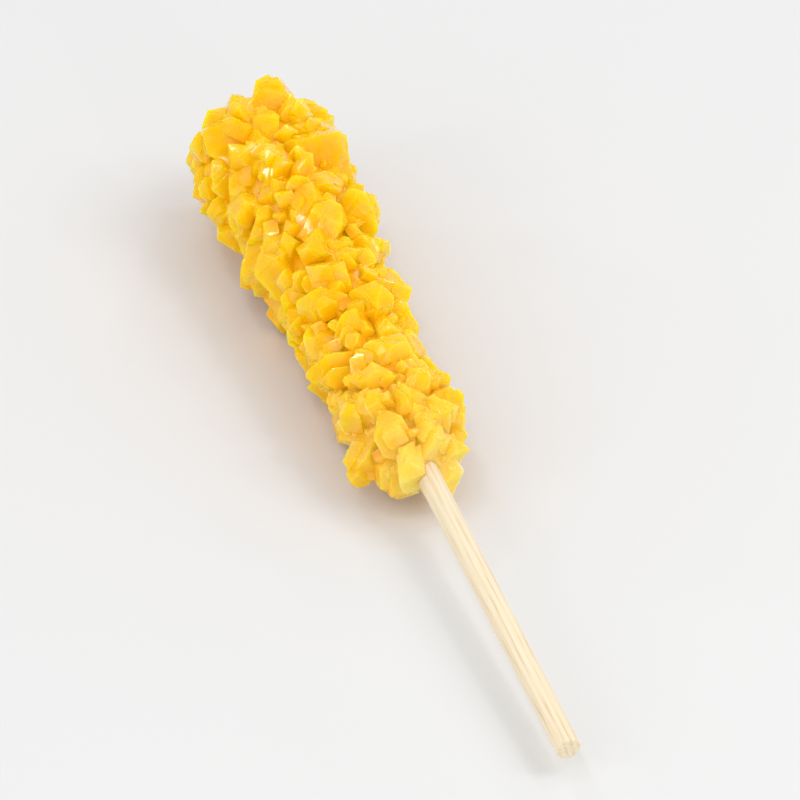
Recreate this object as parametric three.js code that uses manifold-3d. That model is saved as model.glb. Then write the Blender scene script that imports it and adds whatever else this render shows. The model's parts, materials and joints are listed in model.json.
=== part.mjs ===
// A rock candy stick lying on its side: a round wooden stick whose far end runs up inside a fused
// cluster of sugar crystals. Millimetres, +Z up. The stick runs along Y with the candy at +Y, and the
// origin is at the middle of the part's box, on the surface that the part lies on.
import * as THREE from "three";
import { ConvexGeometry } from "three/addons/geometries/ConvexGeometry.js";
import { mergeVertices } from "three/addons/utils/BufferGeometryUtils.js";
import Module from "manifold-3d";

const wasm = await Module();
wasm.setup();

// Driving dimensions
const HANDLE_LENGTH = 68; // of the bare stick
const CANDY_LENGTH = 100;
const CANDY_WIDTH = 25.4; // at its fullest, through the shoulders of its crystals
const STICK_DIAMETER = 4;
const STICK_CHAMFER = 0.4;
const STICK_INSIDE = 88; // how far the stick reaches into the candy
const BORE_GAP = 0.3; // between the stick and the candy that grips it

// The candy's outline along its length: fuller at the tip, with a shallow waist nearer the stick
const TIP_SWELL = 0.28;
const WAIST_DEPTH = 0.05;
const WAIST_PLACE = 0.36;
const WAIST_SPREAD = 0.2;
const TIP_ROUNDING = 11;
const NECK_ROUNDING = 15;
const SIDE_WAVE = 0.035; // lobes round the candy, as a share of its radius
const SIDE_LOBES = 2;
const LOBE_TWIST = 7; // radians that the lobes turn from end to end

// Crystals: how many, their half size at the tip, and how deep their middles sit under the outline
const SEED = 7;
const LARGE = { count: 112, least: 3.3, most: 4.8, depth: 4.0, scatter: 0.8, lean: 1.2 };
const SMALL = { count: 52, least: 2.0, most: 3.0, depth: 2.3, scatter: 0.6, lean: 1.4 };
const NECK_FINENESS = 0.25; // how much smaller the crystals are at the neck, as a share
const ANGLE_SCATTER = 0.3; // radians, off the spiral that they stand on
const CORE_DEPTH = 2.6; // of the solid sugar between the crystals

// How it lies: rolled about its own axis and dipped towards the stick until it rests on three crystal
// tips, with a small flat on each of them
const ROLL = THREE.MathUtils.degToRad(-170.2);
const DIP = THREE.MathUtils.degToRad(3.17);
const AXIS_HEIGHT = 11.9; // of the candy's middle

const STICK_SIDES = 32;
const CORE_SIDES = 20;
const CORE_STEPS = 16;
const AREA_STEPS = 400; // of the outline, to share its surface out
const SLOPE_STEP = 0.01; // of the candy's length, to take the outline's slope over
const CLOSE = 1e-6; // two planes' corners nearer than this are one
const WELD = 1e-5; // two corners of a geometry nearer than this are one
const GOLDEN_ANGLE = Math.PI * (3 - Math.sqrt(5));
const ALONG = new THREE.Vector3(0, 1, 0);
const ACROSS = new THREE.Vector3(1, 0, 0);

// The same row of numbers from 0 to 1 on every run, by a linear congruential rule
const MULTIPLIER = 1664525;
const INCREMENT = 1013904223;
const MODULUS = 2 ** 32;
let state = SEED;
function draw() {
  state = (Math.imul(state, MULTIPLIER) + INCREMENT) >>> 0;
  return state / MODULUS;
}

const between = (low, high) => low + (high - low) * draw();

// Radius of the candy's outline at a share of its length, 0 at the stick's end and 1 at the tip
function outline(share) {
  const along = share * CANDY_LENGTH;
  const waist = WAIST_DEPTH * Math.exp(-(((share - WAIST_PLACE) / WAIST_SPREAD) ** 2));
  const body = (CANDY_WIDTH / 2) * (1 - TIP_SWELL * (1 - share) - waist);
  const neck = Math.max(0, 1 - along / NECK_ROUNDING);
  const tip = Math.max(0, 1 - (CANDY_LENGTH - along) / TIP_ROUNDING);
  return body * Math.sqrt(Math.max(0, 1 - neck ** 2)) * Math.sqrt(Math.max(0, 1 - tip ** 2));
}

// Sucrose is monoclinic: its faces' directions follow from its cell, and its habit from how far out
// each pair of faces lies, as a share of the crystal's half size
const CELL = { a: 10.86, b: 8.7, c: 7.76, beta: THREE.MathUtils.degToRad(102.9) };
const HABIT = [
  { faces: [[1, 0, 0], [-1, 0, 0]], out: 0.66 },
  { faces: [[0, 0, 1], [0, 0, -1]], out: 0.76 },
  { faces: [[1, 1, 0], [-1, -1, 0], [1, -1, 0], [-1, 1, 0]], out: 0.98 },
];
const HABIT_SCATTER = 0.13;

function faceNormal([h, k, l]) {
  const { a, b, c, beta } = CELL;
  const z = -h / (a * Math.tan(beta)) + l / (c * Math.sin(beta));
  return new THREE.Vector3(h / a, k / b, z).normalize();
}

const FACES = HABIT.flatMap(({ faces, out }) => faces.map((face) => ({ normal: faceNormal(face), out })));

// Where three planes meet, each a normal and its distance, or null where they don't
function meeting(p, q, r) {
  const pq = new THREE.Vector3().crossVectors(p.normal, q.normal);
  const qr = new THREE.Vector3().crossVectors(q.normal, r.normal);
  const rp = new THREE.Vector3().crossVectors(r.normal, p.normal);
  const volume = pq.dot(r.normal);
  if (Math.abs(volume) < CLOSE) return null;
  return qr.multiplyScalar(p.out).addScaledVector(rp, q.out).addScaledVector(pq, r.out).divideScalar(volume);
}

// Corners of the convex body that the planes leave
function corners(planes) {
  const found = [];
  planes.forEach((p, i) => {
    planes.slice(i + 1).forEach((q, j) => {
      planes.slice(i + j + 2).forEach((r) => {
        const point = meeting(p, q, r);
        const inside = point && planes.every(({ normal, out }) => normal.dot(point) < out + CLOSE);
        if (inside) found.push(point);
      });
    });
  });
  return found;
}

// A closed geometry as a solid that can be joined and cut
function solidOf(geometry) {
  const bare = geometry.clone();
  bare.deleteAttribute("normal");
  bare.deleteAttribute("uv");
  const merged = mergeVertices(bare, WELD);
  const vertProperties = merged.attributes.position.array;
  const triVerts = new Uint32Array(merged.index.array);
  return new wasm.Manifold(new wasm.Mesh({ numProp: 3, vertProperties, triVerts }));
}

function geometryOf(solid) {
  const { vertProperties, triVerts } = solid.getMesh();
  const geometry = new THREE.BufferGeometry();
  geometry.setAttribute("position", new THREE.BufferAttribute(vertProperties, 3));
  geometry.setIndex(new THREE.BufferAttribute(triVerts, 1));
  geometry.computeVertexNormals();
  return geometry;
}

// One crystal: its own half size and face distances, turned as it grew
function crystal(halfSize, place, turn) {
  const planes = FACES.map(({ normal, out }) => ({
    normal,
    out: halfSize * out * between(1 - HABIT_SCATTER, 1 + HABIT_SCATTER),
  }));
  const geometry = new ConvexGeometry(corners(planes));
  geometry.applyMatrix4(new THREE.Matrix4().compose(place, turn, new THREE.Vector3(1, 1, 1)));
  return solidOf(geometry);
}

// Where along the candy each crystal stands, so that every crystal has an equal share of the surface
function sharesByArea(count) {
  const sums = [0];
  for (let i = 1; i <= AREA_STEPS; i++) {
    const low = outline((i - 1) / AREA_STEPS);
    const high = outline(i / AREA_STEPS);
    const slant = Math.hypot(CANDY_LENGTH / AREA_STEPS, high - low);
    sums.push(sums[i - 1] + ((low + high) / 2) * slant);
  }
  const shares = [];
  let at = 0;
  for (let i = 0; i < count; i++) {
    const wanted = (sums[AREA_STEPS] * (i + 0.5)) / count;
    while (sums[at + 1] < wanted) at++;
    shares.push((at + (wanted - sums[at]) / (sums[at + 1] - sums[at])) / AREA_STEPS);
  }
  return shares;
}

// How fast the outline's radius grows along the candy
function slopeAt(share) {
  const before = Math.max(0, share - SLOPE_STEP);
  const after = Math.min(1, share + SLOPE_STEP);
  return (outline(after) - outline(before)) / (2 * SLOPE_STEP * CANDY_LENGTH);
}

const turnAbout = (axis, angle) => new THREE.Quaternion().setFromAxisAngle(axis, angle);

// Crystals on a golden-angle spiral round the candy's own axis, each leaning off the surface's normal
function crystals({ count, least, most, depth, scatter, lean }) {
  const made = [];
  sharesByArea(count).forEach((share, i) => {
    const angle = i * GOLDEN_ANGLE + between(-ANGLE_SCATTER, ANGLE_SCATTER);
    const radius = outline(share) * (1 + SIDE_WAVE * Math.sin(SIDE_LOBES * angle + LOBE_TWIST * share));
    const outward = new THREE.Vector3(Math.cos(angle), -slopeAt(share), Math.sin(angle)).normalize();
    const place = new THREE.Vector3(Math.cos(angle) * radius, share * CANDY_LENGTH, Math.sin(angle) * radius);
    const finer = 1 - NECK_FINENESS * (1 - share);
    place.addScaledVector(outward, (between(-scatter, scatter) - depth) * finer);
    const turn = new THREE.Quaternion()
      .setFromUnitVectors(ALONG, outward)
      .multiply(turnAbout(ALONG, between(0, 2 * Math.PI)))
      .multiply(turnAbout(ACROSS, between(-lean, lean)))
      .multiply(turnAbout(ALONG, between(0, 2 * Math.PI)));
    made.push(crystal(between(least, most) * finer, place, turn));
  });
  return made;
}

// The solid sugar that the crystals stand on, a lathed body under the outline
function core() {
  const points = [new THREE.Vector2(0, CORE_DEPTH)];
  for (let i = 0; i <= CORE_STEPS; i++) {
    const share = i / CORE_STEPS;
    const along = CORE_DEPTH + share * (CANDY_LENGTH - 2 * CORE_DEPTH);
    const radius = outline(along / CANDY_LENGTH) - CORE_DEPTH;
    if (radius > 0) points.push(new THREE.Vector2(radius, along));
  }
  points.push(new THREE.Vector2(0, CANDY_LENGTH - CORE_DEPTH));
  return solidOf(new THREE.LatheGeometry(points, CORE_SIDES));
}

// The surface that the candy lies on, as a block under it, in the candy's own frame
function floorBlock() {
  const size = 3 * CANDY_LENGTH;
  const block = new THREE.BoxGeometry(size, size, size);
  block.translate(0, 0, -size / 2 - AXIS_HEIGHT);
  block.rotateX(-DIP);
  block.rotateY(-ROLL);
  block.translate(0, CANDY_LENGTH / 2, 0);
  return solidOf(block);
}

// The hole that the stick fills, open at the neck
function bore() {
  const radius = STICK_DIAMETER / 2 + BORE_GAP;
  const length = STICK_INSIDE + NECK_ROUNDING;
  const cylinder = new THREE.CylinderGeometry(radius, radius, length, STICK_SIDES);
  cylinder.translate(0, STICK_INSIDE + BORE_GAP - length / 2, 0);
  return solidOf(cylinder);
}

// Crystals and core fused, cut flat where they rest and bored for the stick; a loose scrap is dropped
function candyGeometry() {
  const fused = wasm.Manifold.union([core(), ...crystals(LARGE), ...crystals(SMALL)]);
  const cut = fused.subtract(floorBlock()).subtract(bore());
  const pieces = cut.decompose().sort((a, b) => b.volume() - a.volume());
  return geometryOf(pieces[0]);
}

// A plain dowel with a small chamfer at both ends
function stickGeometry() {
  const radius = STICK_DIAMETER / 2;
  const profile = [
    [0, -HANDLE_LENGTH],
    [radius - STICK_CHAMFER, -HANDLE_LENGTH],
    [radius, STICK_CHAMFER - HANDLE_LENGTH],
    [radius, STICK_INSIDE - STICK_CHAMFER],
    [radius - STICK_CHAMFER, STICK_INSIDE],
    [0, STICK_INSIDE],
  ];
  return new THREE.LatheGeometry(profile.map(([x, y]) => new THREE.Vector2(x, y)), STICK_SIDES);
}

const sugar = new THREE.MeshStandardMaterial({ color: 0xfdc728, roughness: 0.3, metalness: 0 });
const birch = new THREE.MeshStandardMaterial({ color: 0xf6e6c4, roughness: 0.7, metalness: 0 });

const candy = new THREE.Mesh(candyGeometry(), sugar);
candy.name = "candy";
const stick = new THREE.Mesh(stickGeometry(), birch);
stick.name = "stick";

// The candy's middle is at AXIS_HEIGHT, and the pair rolls and dips about it
const lying = new THREE.Group();
lying.add(candy, stick);
candy.position.y = -CANDY_LENGTH / 2;
stick.position.y = -CANDY_LENGTH / 2;
lying.rotation.set(DIP, ROLL, 0);
lying.position.z = AXIS_HEIGHT;

// The middle of the whole part's box goes to the origin
const middle = new THREE.Box3().setFromObject(lying, true).getCenter(new THREE.Vector3());
lying.position.x = -middle.x;
lying.position.y = -middle.y;

const part = new THREE.Group();
part.add(lying);

export default part;
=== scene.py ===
# A rock candy stick lying on a pale floor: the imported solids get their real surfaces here. Candy sizes
# are in millimetres in the candy's own frame, where the stick runs along +Y and the neck is at 0.
import json
import math
import random
from collections import namedtuple
from itertools import combinations

import bmesh
import bpy
import numpy as np
from mathutils import Matrix, Quaternion, Vector
from mathutils.bvhtree import BVHTree

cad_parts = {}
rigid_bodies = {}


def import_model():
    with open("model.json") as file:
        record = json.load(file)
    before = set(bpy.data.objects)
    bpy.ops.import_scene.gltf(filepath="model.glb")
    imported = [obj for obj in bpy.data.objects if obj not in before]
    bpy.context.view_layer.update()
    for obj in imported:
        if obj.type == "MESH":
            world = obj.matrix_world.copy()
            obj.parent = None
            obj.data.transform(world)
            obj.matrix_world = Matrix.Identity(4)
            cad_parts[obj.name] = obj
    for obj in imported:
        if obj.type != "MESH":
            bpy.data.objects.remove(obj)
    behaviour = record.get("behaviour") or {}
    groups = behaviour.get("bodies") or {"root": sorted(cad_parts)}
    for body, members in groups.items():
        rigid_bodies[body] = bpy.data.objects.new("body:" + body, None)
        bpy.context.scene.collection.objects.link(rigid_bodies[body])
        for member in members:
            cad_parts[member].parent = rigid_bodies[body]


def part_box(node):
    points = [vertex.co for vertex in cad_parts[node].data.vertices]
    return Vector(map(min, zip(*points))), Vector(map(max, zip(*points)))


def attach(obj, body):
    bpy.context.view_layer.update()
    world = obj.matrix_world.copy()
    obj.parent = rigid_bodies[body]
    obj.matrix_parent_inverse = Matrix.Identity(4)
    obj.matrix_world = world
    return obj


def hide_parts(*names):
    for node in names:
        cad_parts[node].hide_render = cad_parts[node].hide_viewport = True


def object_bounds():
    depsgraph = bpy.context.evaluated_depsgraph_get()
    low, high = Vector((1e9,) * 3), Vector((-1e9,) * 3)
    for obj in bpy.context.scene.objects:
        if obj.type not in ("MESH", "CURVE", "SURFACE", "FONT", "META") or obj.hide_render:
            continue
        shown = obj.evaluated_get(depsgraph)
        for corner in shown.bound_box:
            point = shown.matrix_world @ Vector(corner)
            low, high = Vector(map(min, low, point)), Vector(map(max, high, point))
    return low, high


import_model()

CAD_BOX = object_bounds()
MM = 0.001

# The candy's driving sizes, the same as its solid's
HANDLE_LENGTH = 68
CANDY_LENGTH = 100
CANDY_WIDTH = 25.4
STICK_RADIUS = 2.0
STICK_CHAMFER = 0.4
STICK_INSIDE = 88  # how far the stick reaches into the candy
TIP_SWELL = 0.28  # how much narrower the neck is than the tip, as a share
WAIST_DEPTH = 0.05
WAIST_PLACE = 0.36
WAIST_SPREAD = 0.2
TIP_ROUNDING = 11
NECK_ROUNDING = 15
SIDE_WAVE = 0.035  # the candy is slightly oval, and the oval turns along it
SIDE_LOBES = 2
LOBE_TWIST = 7
SEED = 7
# Each kind of crystal: how many, its half size, how deep its middle lies and how far that varies, and
# its lean in radians
LARGE = {"count": 112, "least": 3.3, "most": 4.8, "depth": 4.0, "scatter": 0.8, "lean": 1.2}
SMALL = {"count": 52, "least": 2.0, "most": 3.0, "depth": 2.3, "scatter": 0.6, "lean": 1.4}
NECK_FINENESS = 0.25  # how much smaller the crystals are at the neck, as a share
ANGLE_SCATTER = 0.3
CORE_DEPTH = 2.6  # how deep the solid middle lies under the outline
ROLL = math.radians(-170.2)  # how the candy lies, turned about the stick
DIP = math.radians(3.17)  # the stick slopes down to its bare end
AXIS_HEIGHT = 11.9  # of the stick's axis at the candy's middle

# Finer sugar that the solid leaves out
BLOCKS_EACH = 2  # smaller blocks grown parallel to each large crystal
BLOCK_SIZE = (0.5, 0.8)  # of the large crystal's
BLOCK_PROUD = (0.1, 0.4)  # how far a block stands out of the large crystal's face
BLOCK_SHIFT = (0.35, 0.7)  # how far it is off that face's middle, as a share of the crystal
FILLER = {"count": 300, "least": 1.3, "most": 2.3, "depth": 2.5, "scatter": 0.6, "lean": 1.5}
GRAINS = 160
GRAIN_SIZE = (0.4, 0.9)
GRAIN_GAP = 1.9  # how deep under the outline the grains lie
GRAIN_SUNK = (0.1, 0.5)
GRAIN_ENDS = 3.0  # how far the grains keep from both ends
WEAR = 0.05  # how far a crystal's worn edge reaches into each face, as a share of its size
WEAR_MOST = 0.3  # and at most this share of the way to the face's middle

FLOOR_NEAR = 0.0005  # in metres: a crystal that comes so near the floor stands on it
BEVEL_OFF = 2  # so many times further out, a bevel no longer cuts its crystal
STICK_SIDES = 64
END_STEPS = 6
FOLD_ANGLE = math.radians(-4)  # clefts at least this deep shade as sharp
GHOST_DEPTH = 9.0  # thinner sugar than this lets the pale stick shine through near the neck
GHOST_LENGTH = 36.0

# Sugar: each span spreads its first range over its second, and the ramp runs from the golden crystals
# that stand out to the clefts, which are painted paler: painted light that lifts the clefts' shade
PAINTED_CLEFT_LIGHT_SPAN = ((-4.0, 1.5), (1.0, 0.3))
CLOUD_NOISE = {"Scale": 0.16, "Detail": 3.0}
CLOUD_SPAN = ((0.3, 0.7), (-0.13, 0.13))
TONE_SPAN = ((0.0, 1.0), (-0.03, 0.03))
SUGAR_RAMP = [
    (0.0, (0.96, 0.43, 0.001)),
    (0.4, (0.97, 0.48, 0.002)),
    (0.75, (0.98, 0.535, 0.004)),
    (1.0, (0.99, 0.61, 0.008)),
]
GHOST_COLOUR = (1.0, 0.66, 0.12)
FROST_NOISE = {"Scale": 0.5, "Detail": 4.0}
FROST_ROUGHNESS = ((0.35, 0.65), (0.12, 0.42))
FROST_COAT = ((0.42, 0.59), (0.75, 0.0))
ETCH_NOISE = {"Scale": 2.2, "Detail": 5.0}
ETCH_BUMP = {"Strength": 0.12, "Distance": 0.0002}
SUGAR_SHADER = {
    "Subsurface Weight": 1.0,
    "Subsurface Radius": (0.12, 1.0, 0.8),
    "Subsurface Scale": 0.010,
    "IOR": 1.5,
    "Specular IOR Level": 0.2,
    "Specular Tint": (1.0, 0.84, 0.42, 1),
    "Coat IOR": 1.55,
    "Coat Roughness": 0.05,
}

# Birch: fibres and growth rings, both drawn out along the dowel
FIBRE_STRETCH = (1.0, 0.03, 1.0)
RING_OFFSET = (11.0, 0.0, 5.0)  # from the middle of the rings to the dowel, in millimetres
FIBRE_NOISE = {"Scale": 3.2, "Detail": 6.0}
FIBRE_SPAN = ((0.25, 0.75), (0.0, 0.7))
RING_WAVE = {"Scale": 0.3, "Distortion": 1.2}
RING_SPAN = ((0.0, 1.0), (0.0, 0.3))
BIRCH_RAMP = [
    (0.12, (0.70, 0.53, 0.32)),
    (0.35, (0.82, 0.68, 0.46)),
    (0.6, (0.86, 0.74, 0.53)),
    (0.9, (0.90, 0.79, 0.59)),
]
FIBRE_BUMP = {"Strength": 0.4, "Distance": 0.00008}
BIRCH_SHADER = {
    "Roughness": 0.6,
    "Subsurface Weight": 0.15,
    "Subsurface Radius": (1.0, 0.6, 0.3),
    "Subsurface Scale": 0.0006,
}

FLOOR_SHADER = {"Base Color": (0.74, 0.74, 0.74, 1), "Roughness": 0.8}
FLOOR_REACH = 3.0
CAMERA_AZIMUTH = -18.2
CAMERA_ELEVATION = 36.2
CAMERA_DISTANCE = 1.336
FRAME_WIDTH = 0.130  # what the frame shows across at the candy
LAMPS = {  # place in metres, size and watts
    "key": ((0.45, -0.30, 0.75), 0.4, 1.7),
    "fill": ((-0.7, -0.5, 0.5), 0.9, 1.7),
}
SPARKS = 10  # small lamps all round, for glints
SPARK_REACH = 1.0
SPARK_LOWEST = 0.15  # height as a share of the reach
SPARK_SIZE = 0.11
SPARK_WATTS = 0.4
WORLD_STRENGTH = 0.74

CORE_SIDES = 20
CORE_STEPS = 16
CORE_TONE = 0.5
AREA_STEPS = 400
SLOPE_STEP = 0.01
CLOSE = 1e-6
ON_FACE = CLOSE * 10
DECIMALS = 6
GOLDEN_ANGLE = math.pi * (3 - math.sqrt(5))
ALONG = Vector((0, 1, 0))
ACROSS = Vector((1, 0, 0))

Crystal = namedtuple("Crystal", "place turn reaches tone")


class Draws:
    """The same row of numbers from 0 to 1 on every run, by a linear congruential rule."""

    MULTIPLIER = 1664525
    INCREMENT = 1013904223
    MODULUS = 2 ** 32

    def __init__(self, seed):
        self.state = seed

    def between(self, low, high):
        self.state = (self.state * self.MULTIPLIER + self.INCREMENT) % self.MODULUS
        return low + (high - low) * self.state / self.MODULUS


def outline(share):
    """Radius of the candy's outline at a share of its length, 0 at the neck and 1 at the tip."""
    along = share * CANDY_LENGTH
    waist = WAIST_DEPTH * math.exp(-(((share - WAIST_PLACE) / WAIST_SPREAD) ** 2))
    body = CANDY_WIDTH / 2 * (1 - TIP_SWELL * (1 - share) - waist)
    neck = max(0.0, 1 - along / NECK_ROUNDING)
    tip = max(0.0, 1 - (CANDY_LENGTH - along) / TIP_ROUNDING)
    return body * math.sqrt(max(0.0, 1 - neck ** 2)) * math.sqrt(max(0.0, 1 - tip ** 2))


def slope_at(share):
    """How steeply the outline widens towards the tip."""
    before = max(0.0, share - SLOPE_STEP)
    after = min(1.0, share + SLOPE_STEP)
    return (outline(after) - outline(before)) / (2 * SLOPE_STEP * CANDY_LENGTH)


def shares_by_area(count):
    """Where each crystal stands along the candy, so that each has an equal share of the surface."""
    sums = [0.0]
    for i in range(1, AREA_STEPS + 1):
        low = outline((i - 1) / AREA_STEPS)
        high = outline(i / AREA_STEPS)
        slant = math.hypot(CANDY_LENGTH / AREA_STEPS, high - low)
        sums.append(sums[-1] + (low + high) / 2 * slant)
    shares = []
    at = 0
    for i in range(count):
        wanted = sums[AREA_STEPS] * (i + 0.5) / count
        while sums[at + 1] < wanted:
            at += 1
        shares.append((at + (wanted - sums[at]) / (sums[at + 1] - sums[at])) / AREA_STEPS)
    return shares


# Sucrose is monoclinic: its faces' directions follow from its cell, and its habit from how far out
# each set of faces lies, as a share of the crystal's half size
CELL_A = 10.86
CELL_B = 8.7
CELL_C = 7.76
CELL_BETA = math.radians(102.9)
HABIT = [
    (((1, 0, 0), (-1, 0, 0)), 0.66),
    (((0, 0, 1), (0, 0, -1)), 0.76),
    (((1, 1, 0), (-1, -1, 0), (1, -1, 0), (-1, 1, 0)), 0.98),
    (((0, 1, 1), (0, -1, -1), (0, 1, -1), (0, -1, 1)), 1.04),
]
SOLID_FACES = 8  # the solid has only the first three sets; the last set bevels the crystals' tips
HABIT_SCATTER = 0.13


def face_normal(h, k, l):
    z = -h / (CELL_A * math.tan(CELL_BETA)) + l / (CELL_C * math.sin(CELL_BETA))
    return Vector((h / CELL_A, k / CELL_B, z)).normalized()


NORMALS = np.array([face_normal(*face) for faces, _ in HABIT for face in faces], dtype=float)
REACHES = np.array([reach for faces, reach in HABIT for _ in faces])


def meetings():
    """Every three faces that meet in a point, and the matrix that finds the point."""
    threes = [list(three) for three in combinations(range(len(NORMALS)), 3)]
    threes = [three for three in threes if abs(np.linalg.det(NORMALS[three])) > CLOSE]
    return np.array(threes), np.linalg.inv(NORMALS[np.array(threes)])


THREES, SOLVERS = meetings()


def crystal_faces(reaches):
    """The corners of each face of a crystal whose faces lie so far out."""
    points = np.einsum("nij,nj->ni", SOLVERS, reaches[THREES])
    points = points[(points @ NORMALS.T < reaches + CLOSE).all(axis=1)]
    found = []
    for normal, reach in zip(NORMALS, reaches):
        on_face = points[np.abs(points @ normal - reach) < ON_FACE]
        on_face = np.unique(np.round(on_face, DECIMALS), axis=0)
        if len(on_face) > 2:
            found.append(on_face)
    return found


def worn_points(reaches):
    """Corners of each face pulled in towards its middle, so that their hull has worn edges."""
    wear = WEAR * reaches.mean()
    worn = []
    for corners in crystal_faces(reaches):
        inward = corners.mean(axis=0) - corners
        length = np.linalg.norm(inward, axis=1, keepdims=True)
        worn.append(corners + inward * np.minimum(wear / length, WEAR_MOST))
    return np.vstack(worn)


def standing(angle, share, kind, draws):
    """Place and turn of a crystal on the candy's outline, leaning off the surface's normal."""
    wave = 1 + SIDE_WAVE * math.sin(SIDE_LOBES * angle + LOBE_TWIST * share)
    radius = outline(share) * wave
    outward = Vector((math.cos(angle), -slope_at(share), math.sin(angle))).normalized()
    place = Vector((math.cos(angle) * radius, share * CANDY_LENGTH, math.sin(angle) * radius))
    offset = draws.between(-kind["scatter"], kind["scatter"]) - kind["depth"]
    place += outward * offset * finer(share)
    turn = ALONG.rotation_difference(outward)
    turn = turn @ Quaternion(ALONG, draws.between(0, 2 * math.pi))
    turn = turn @ Quaternion(ACROSS, draws.between(-kind["lean"], kind["lean"]))
    turn = turn @ Quaternion(ALONG, draws.between(0, 2 * math.pi))
    return place, turn


def finer(share):
    """How large the crystals are here, as a share of those at the tip."""
    return 1 - NECK_FINENESS * (1 - share)


def grown(kind, draws, chance):
    """Crystals on a spiral over the outline. The draws are the solid's; what it leaves out is chance's."""
    made = []
    for i, share in enumerate(shares_by_area(kind["count"])):
        angle = i * GOLDEN_ANGLE + draws.between(-ANGLE_SCATTER, ANGLE_SCATTER)
        place, turn = standing(angle, share, kind, draws)
        half = draws.between(kind["least"], kind["most"]) * finer(share)
        spread = [draws.between(1 - HABIT_SCATTER, 1 + HABIT_SCATTER) for _ in range(SOLID_FACES)]
        spread += habit_spread(chance, len(REACHES) - SOLID_FACES)
        made.append(Crystal(place, turn, REACHES * half * np.array(spread), chance.random()))
    return made


def habit_spread(chance, count):
    return [chance.uniform(1 - HABIT_SCATTER, 1 + HABIT_SCATTER) for _ in range(count)]


def loose_crystal(place, half, chance):
    spread = np.array(habit_spread(chance, len(REACHES)))
    return Crystal(place, any_turn(chance), REACHES * half * spread, chance.random())


def any_turn(chance):
    spin = Quaternion(ALONG, chance.uniform(0, 2 * math.pi))
    tilt = Quaternion(ACROSS, math.acos(chance.uniform(-1, 1)))
    return spin @ tilt @ Quaternion(ALONG, chance.uniform(0, 2 * math.pi))


def parallel_blocks(large, chance):
    """Smaller blocks in line with a large crystal that stand a little out of its outer faces."""
    made = []
    for one in large:
        outward = Vector((one.place.x, 0, one.place.z)).normalized()
        facing = [(one.turn @ Vector(normal)).dot(outward) for normal in NORMALS]
        outer = sorted(range(len(NORMALS)), key=lambda i: -facing[i])[:BLOCKS_EACH + 1]
        for face in chance.sample(outer, BLOCKS_EACH):
            block = one.reaches * chance.uniform(*BLOCK_SIZE)
            normal = Vector(NORMALS[face])
            side = normal.orthogonal().normalized()
            side.rotate(Quaternion(normal, chance.uniform(0, 2 * math.pi)))
            shift = normal * (one.reaches[face] + chance.uniform(*BLOCK_PROUD) - block[face])
            shift += side * chance.uniform(*BLOCK_SHIFT) * one.reaches[face]
            made.append(Crystal(one.place + one.turn @ shift, one.turn, block, one.tone))
    return made


def mesh_from(bm, name):
    mesh = bpy.data.meshes.new(name)
    bm.to_mesh(mesh)
    bm.free()
    return mesh


def lathe(name, rings, sides):
    """A closed turned body, each ring a place along the stick and a radius."""
    bm = bmesh.new()
    loops = []
    for along, radius in rings:
        turns = [2 * math.pi * side / sides for side in range(sides)]
        loops.append([bm.verts.new((radius * math.cos(t), along, radius * math.sin(t))) for t in turns])
    for first, second in zip(loops, loops[1:]):
        for i in range(sides):
            j = (i + 1) % sides
            bm.faces.new((first[i], first[j], second[j], second[i]))
    bm.faces.new(loops[0])
    bm.faces.new(loops[-1])
    bmesh.ops.recalc_face_normals(bm, faces=bm.faces)
    return mesh_from(bm, name)


def set_tone(mesh, tone):
    mark = mesh.attributes.new("tone", "FLOAT", "FACE")
    mark.data.foreach_set("value", [tone] * len(mesh.polygons))


def crystal_mesh(crystal):
    bm = bmesh.new()
    for corner in corners_of(crystal):
        bm.verts.new(corner)
    hull = bmesh.ops.convex_hull(bm, input=bm.verts)
    inner = {v for v in hull["geom_interior"] + hull["geom_unused"] if isinstance(v, bmesh.types.BMVert)}
    bmesh.ops.delete(bm, geom=list(inner), context="VERTS")
    bmesh.ops.recalc_face_normals(bm, faces=bm.faces)
    mesh = mesh_from(bm, "crystal")
    set_tone(mesh, crystal.tone)
    return mesh


def core_mesh():
    """The solid sugar between the crystals, a lathed body under the outline."""
    rings = []
    for i in range(CORE_STEPS + 1):
        along = CORE_DEPTH + i / CORE_STEPS * (CANDY_LENGTH - 2 * CORE_DEPTH)
        radius = outline(along / CANDY_LENGTH) - CORE_DEPTH
        if radius > 0:
            rings.append((along, radius))
    mesh = lathe("core", rings, CORE_SIDES)
    set_tone(mesh, CORE_TONE)
    return mesh


def fused(base, meshes, operation="UNION"):
    """The base object joined with all the meshes, or cut by them, as one closed mesh."""
    others = bpy.data.collections.new("others")
    bpy.context.scene.collection.children.link(others)
    for mesh in meshes:
        others.objects.link(bpy.data.objects.new(mesh.name, mesh))
    modifier = base.modifiers.new("fuse", "BOOLEAN")
    modifier.operation = operation
    modifier.operand_type = "COLLECTION"
    modifier.collection = others
    modifier.solver = "MANIFOLD"
    apply_modifiers(base)
    for other in list(others.objects):
        bpy.data.objects.remove(other)
    bpy.data.collections.remove(others)


def apply_modifiers(obj):
    bpy.context.view_layer.update()
    depsgraph = bpy.context.evaluated_depsgraph_get()
    mesh = bpy.data.meshes.new_from_object(obj.evaluated_get(depsgraph))
    obj.modifiers.clear()
    obj.data = mesh


def surface_tree(candy):
    corners = [vertex.co for vertex in candy.data.vertices]
    return BVHTree.FromPolygons(corners, [face.vertices for face in candy.data.polygons])


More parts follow.
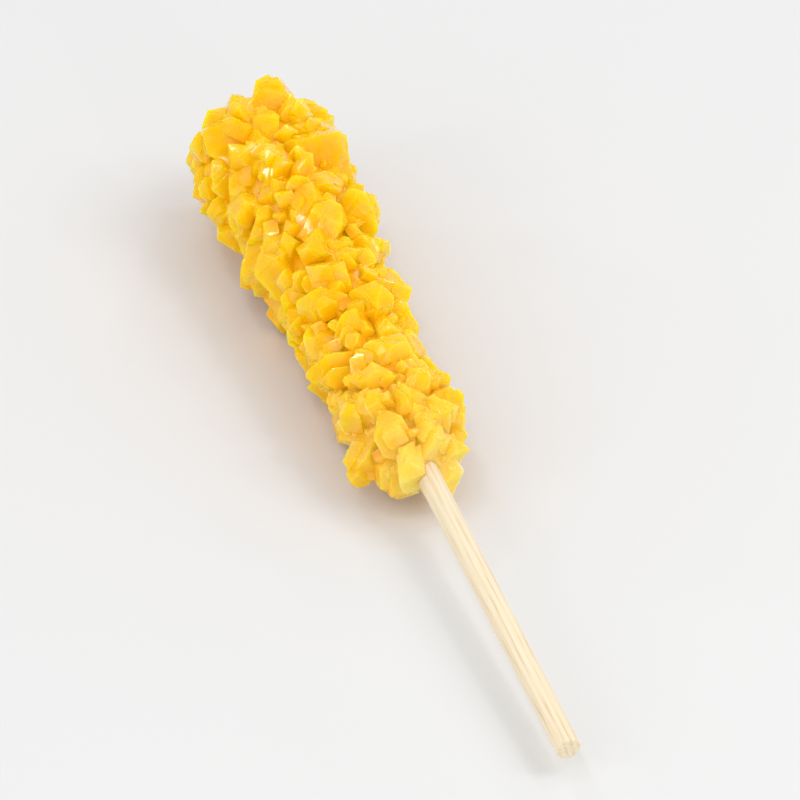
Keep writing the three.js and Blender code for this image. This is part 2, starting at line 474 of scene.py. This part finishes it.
def grains_on(candy, chance):
    """Fine crystals half sunk in the clefts between the large ones."""
    tree = surface_tree(candy)
    made = []
    while len(made) < GRAINS:
        along = chance.uniform(GRAIN_ENDS, CANDY_LENGTH - GRAIN_ENDS)
        angle = chance.uniform(0, 2 * math.pi)
        inward = -Vector((math.cos(angle), 0, math.sin(angle)))
        spot, normal, _, _ = tree.ray_cast(ALONG * along - inward * CANDY_WIDTH, inward)
        deep = outline(along / CANDY_LENGTH) - math.hypot(spot.x, spot.z)
        if deep > GRAIN_GAP:
            half = chance.uniform(*GRAIN_SIZE)
            place = spot - normal * half * chance.uniform(*GRAIN_SUNK)
            made.append(loose_crystal(place, half, chance))
    return made


def lying():
    """From the candy's own millimetres to where it lies on the floor, in metres."""
    low, high = (Vector(corner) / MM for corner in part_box("stick"))
    end_edge = (STICK_RADIUS - STICK_CHAMFER) * math.sin(DIP)
    middle_y = low.y + (HANDLE_LENGTH + CANDY_LENGTH / 2) * math.cos(DIP) + end_edge
    middle = Vector(((low.x + high.x) / 2, middle_y, AXIS_HEIGHT))
    return (
        Matrix.Scale(MM, 4)
        @ Matrix.Translation(middle)
        @ Matrix.Rotation(DIP, 4, "X")
        @ Matrix.Rotation(ROLL, 4, "Y")
        @ Matrix.Translation(ALONG * -CANDY_LENGTH / 2)
    )


LYING = lying()


def as_solid(crystal):
    """A crystal that stands on the floor without its tips' bevels, to touch it as its solid does."""
    reaches = crystal.reaches.copy()
    reaches[SOLID_FACES:] *= BEVEL_OFF
    whole = crystal._replace(reaches=reaches)
    lowest = min((LYING @ at).z for at in corners_of(whole))
    return whole if lowest < FLOOR_NEAR else crystal


def corners_of(crystal):
    return [crystal.turn @ Vector(point) + crystal.place for point in worn_points(crystal.reaches)]


def inside_box(crystal):
    """Whether a crystal stays inside the solid's box; below the floor it is cut off flat later."""
    low, high = (Vector(corner) for corner in CAD_BOX)
    for corner in corners_of(crystal):
        at = LYING @ corner
        if not (low.x < at.x < high.x and low.y < at.y < high.y and at.z < high.z):
            return False
    return True


def add_mark(mesh, name, kind, values):
    mark = mesh.attributes.new(name, kind, "POINT")
    mark.data.foreach_set("vector" if kind == "FLOAT_VECTOR" else "value", values.ravel())


def mark_surface(mesh):
    """For the materials: each corner's place in the candy's own frame, how far it stands out of the
    outline, and how thin the sugar is there over the stick at the neck."""
    places = np.array([vertex.co for vertex in mesh.vertices])
    along = places[:, 1]
    radius = np.hypot(places[:, 0], places[:, 2])
    shares = np.linspace(0, 1, AREA_STEPS)
    radii = np.array([outline(share) for share in shares])
    gaps = np.hypot(along[:, None] - shares * CANDY_LENGTH, radius[:, None] - radii).min(axis=1)
    inside = radius < np.interp(along / CANDY_LENGTH, shares, radii)
    thin = np.clip(1 - (radius - STICK_RADIUS) / GHOST_DEPTH, 0, 1)
    near = np.clip(1 - along / GHOST_LENGTH, 0, 1)
    add_mark(mesh, "place", "FLOAT_VECTOR", places)
    add_mark(mesh, "stand", "FLOAT", np.where(inside, -gaps, gaps))
    add_mark(mesh, "ghost", "FLOAT", thin * near)


def settle(obj):
    """The mesh goes to where it lies; its object stays at the origin."""
    mark_surface(obj.data)
    obj.data.transform(LYING)


def floor_block():
    """A block right under the floor, which cuts the candy flat where it stands."""
    bm = bmesh.new()
    bmesh.ops.create_cube(bm, size=1.0)
    bmesh.ops.translate(bm, verts=bm.verts, vec=(0, 0, -0.5))
    return mesh_from(bm, "floor_block")


def crisp_edges(obj):
    """Worn edges shade as rounded, and the clefts between crystals stay sharp."""
    bm = bmesh.new()
    bm.from_mesh(obj.data)
    for edge in bm.edges:
        edge.smooth = not (edge.is_manifold and edge.calc_face_angle_signed(0) < FOLD_ANGLE)
    for face in bm.faces:
        face.smooth = True
    bm.to_mesh(obj.data)
    bm.free()
    modifier = obj.modifiers.new("weighted", "WEIGHTED_NORMAL")
    modifier.keep_sharp = True
    apply_modifiers(obj)


def new_object(name, mesh):
    made = bpy.data.objects.new(name, mesh)
    bpy.context.scene.collection.objects.link(made)
    return made


def candy_piece():
    candy = new_object("sugar_crystals", core_mesh())
    draws = Draws(SEED)
    chance = random.Random(SEED)
    large = grown(LARGE, draws, chance)
    small = grown(SMALL, draws, chance)
    extra = parallel_blocks(large, chance) + grown(FILLER, Draws(SEED + 1), chance)
    extra = [one for one in extra if inside_box(one)]
    standing_ones = [as_solid(one) for one in large + small]
    fused(candy, [crystal_mesh(one) for one in standing_ones + extra])
    fused(candy, [crystal_mesh(one) for one in grains_on(candy, chance) if inside_box(one)])
    settle(candy)
    fused(candy, [floor_block()], "DIFFERENCE")
    crisp_edges(candy)
    return candy


def stick_piece():
    """The dowel, with its bare end softened and the other inside the candy."""
    rings = []
    for i in range(END_STEPS + 1):
        bend = math.pi / 2 * i / END_STEPS
        along = STICK_CHAMFER * (1 - math.cos(bend)) - HANDLE_LENGTH
        rings.append((along, STICK_RADIUS - STICK_CHAMFER * (1 - math.sin(bend))))
    rings.append((STICK_INSIDE - STICK_CHAMFER, STICK_RADIUS))
    rings.append((STICK_INSIDE, STICK_RADIUS - STICK_CHAMFER))
    stick = new_object("birch_stick", lathe("birch_stick", rings, STICK_SIDES))
    for face in stick.data.polygons:
        face.use_smooth = len(face.vertices) == 4  # the two ends stay flat
    settle(stick)
    return stick


def node(tree, kind, **values):
    made = tree.nodes.new(kind)
    for name, value in values.items():
        if name in made.inputs:
            made.inputs[name].default_value = value
        else:
            setattr(made, name, value)
    return made


def material(name, sockets):
    """A new material, its tree and its shader, whose own sockets get the values."""
    made = bpy.data.materials.new(name)
    made.use_nodes = True
    tree = made.node_tree
    shader = tree.nodes["Principled BSDF"]
    for socket, value in sockets.items():
        shader.inputs[socket].default_value = value
    return made, tree, shader


def mark_out(tree, name, output="Fac"):
    return node(tree, "ShaderNodeAttribute", attribute_name=name).outputs[output]


def noise_out(tree, vector, settings):
    made = node(tree, "ShaderNodeTexNoise", **settings)
    tree.links.new(vector, made.inputs["Vector"])
    return made.outputs["Fac"]


def span_out(tree, source, span):
    """The span's first range spread over its second."""
    made = tree.nodes.new("ShaderNodeMapRange")
    tree.links.new(source, made.inputs["Value"])
    for side, ends in zip(("From", "To"), span):
        made.inputs[f"{side} Min"].default_value, made.inputs[f"{side} Max"].default_value = ends
    return made.outputs["Result"]


def mapped_out(tree, vector, **change):
    made = node(tree, "ShaderNodeMapping", **change)
    tree.links.new(vector, made.inputs["Vector"])
    return made.outputs["Vector"]


def sum_out(tree, first, second):
    made = node(tree, "ShaderNodeMath", operation="ADD")
    tree.links.new(first, made.inputs[0])
    tree.links.new(second, made.inputs[1])
    return made.outputs[0]


def ramp_out(tree, source, stops):
    made = tree.nodes.new("ShaderNodeValToRGB")
    tree.links.new(source, made.inputs["Fac"])
    elements = made.color_ramp.elements
    while len(elements) < len(stops):
        elements.new(1.0)
    for element, (place, colour) in zip(elements, stops):
        element.position = place
        element.color = (*colour, 1)
    return made.outputs["Color"]


def paler_out(tree, colour, share, pale):
    made = node(tree, "ShaderNodeMix", data_type="RGBA")
    tree.links.new(share, made.inputs["Factor"])
    tree.links.new(colour, made.inputs["A"])
    made.inputs["B"].default_value = (*pale, 1)
    return made.outputs["Result"]


def bump_out(tree, height, settings):
    made = node(tree, "ShaderNodeBump", **settings)
    tree.links.new(height, made.inputs["Height"])
    return made.outputs["Normal"]


def sugar_material():
    """Milky golden sugar with clear and frosted patches, painted paler in the clefts to lift their shade,
    and paler over the stick.
    """
    made, tree, shader = material("golden_sugar", SUGAR_SHADER)
    link = tree.links.new
    place = mark_out(tree, "place", "Vector")
    # painted light: the clefts are made paler to lift their shade, and crystals that stand out stay deeper
    # golden
    depth = span_out(tree, mark_out(tree, "stand"), PAINTED_CLEFT_LIGHT_SPAN)
    cloud = span_out(tree, noise_out(tree, place, CLOUD_NOISE), CLOUD_SPAN)
    tone = span_out(tree, mark_out(tree, "tone"), TONE_SPAN)
    colour = ramp_out(tree, sum_out(tree, sum_out(tree, depth, cloud), tone), SUGAR_RAMP)
    link(paler_out(tree, colour, mark_out(tree, "ghost"), GHOST_COLOUR), shader.inputs["Base Color"])
    frost = noise_out(tree, place, FROST_NOISE)
    link(span_out(tree, frost, FROST_ROUGHNESS), shader.inputs["Roughness"])
    link(span_out(tree, frost, FROST_COAT), shader.inputs["Coat Weight"])
    link(bump_out(tree, noise_out(tree, place, ETCH_NOISE), ETCH_BUMP), shader.inputs["Normal"])
    return made


def birch_material():
    """Pale birch: growth rings cut lengthwise, and fine fibres along the dowel."""
    made, tree, shader = material("pale_birch", BIRCH_SHADER)
    link = tree.links.new
    stretched = mapped_out(tree, mark_out(tree, "place", "Vector"), Scale=FIBRE_STRETCH)
    fibre = noise_out(tree, stretched, FIBRE_NOISE)
    rings = node(tree, "ShaderNodeTexWave", wave_type="RINGS", rings_direction="Y", **RING_WAVE)
    link(mapped_out(tree, stretched, Location=RING_OFFSET), rings.inputs["Vector"])
    fibres = span_out(tree, fibre, FIBRE_SPAN)
    ringed = span_out(tree, rings.outputs["Fac"], RING_SPAN)
    link(ramp_out(tree, sum_out(tree, fibres, ringed), BIRCH_RAMP), shader.inputs["Base Color"])
    link(bump_out(tree, fibre, FIBRE_BUMP), shader.inputs["Normal"])
    return made


def floor_piece():
    bm = bmesh.new()
    bmesh.ops.create_grid(bm, x_segments=1, y_segments=1, size=FLOOR_REACH)
    floor = new_object("floor", mesh_from(bm, "floor"))
    made, _, _ = material("pale_floor", FLOOR_SHADER)
    floor.data.materials.append(made)


def aim(obj, target):
    obj.rotation_euler = (target - obj.location).to_track_quat("-Z", "Y").to_euler()


def area_light(name, place, size, watts, target):
    light = bpy.data.lights.new(name, "AREA")
    light.energy = watts
    light.size = size
    lamp = new_object(name, light)
    lamp.location = place
    lamp.visible_camera = False
    aim(lamp, target)


def sparks(target):
    """Small lamps on a spiral over the candy, so that a few crystal faces glint from any side."""
    for i in range(SPARKS):
        angle = i * GOLDEN_ANGLE
        height = SPARK_LOWEST + (1 - SPARK_LOWEST) * (i + 0.5) / SPARKS
        level = math.sqrt(1 - height ** 2)
        place = Vector((math.cos(angle) * level, math.sin(angle) * level, height)) * SPARK_REACH
        area_light(f"spark_{i + 1}", place, SPARK_SIZE, SPARK_WATTS, target)


def studio(target):
    for name, (place, size, watts) in LAMPS.items():
        area_light(name, Vector(place), size, watts, target)
    sparks(target)
    world = bpy.data.worlds.new("studio")
    world.use_nodes = True
    background = world.node_tree.nodes["Background"]
    background.inputs["Color"].default_value = (1, 1, 1, 1)
    background.inputs["Strength"].default_value = WORLD_STRENGTH
    bpy.context.scene.world = world
    bpy.context.scene.view_settings.view_transform = "Standard"


def camera(target):
    azimuth = math.radians(CAMERA_AZIMUTH)
    elevation = math.radians(CAMERA_ELEVATION)
    level = math.cos(elevation)
    look = Vector((-math.sin(azimuth) * level, math.cos(azimuth) * level, -math.sin(elevation)))
    data = bpy.data.cameras.new("camera")
    data.lens = data.sensor_width * CAMERA_DISTANCE / FRAME_WIDTH
    made = new_object("camera", data)
    made.location = target - look * CAMERA_DISTANCE
    aim(made, target)
    bpy.context.scene.camera = made


def dress(piece, made, body_node):
    piece.data.materials.clear()
    piece.data.materials.append(made)
    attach(piece, "root")
    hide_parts(body_node)


low, high = (Vector(corner) for corner in CAD_BOX)
middle = (low + high) / 2
camera(middle)
studio(middle)
floor_piece()
dress(candy_piece(), sugar_material(), "candy")
dress(stick_piece(), birch_material(), "stick")
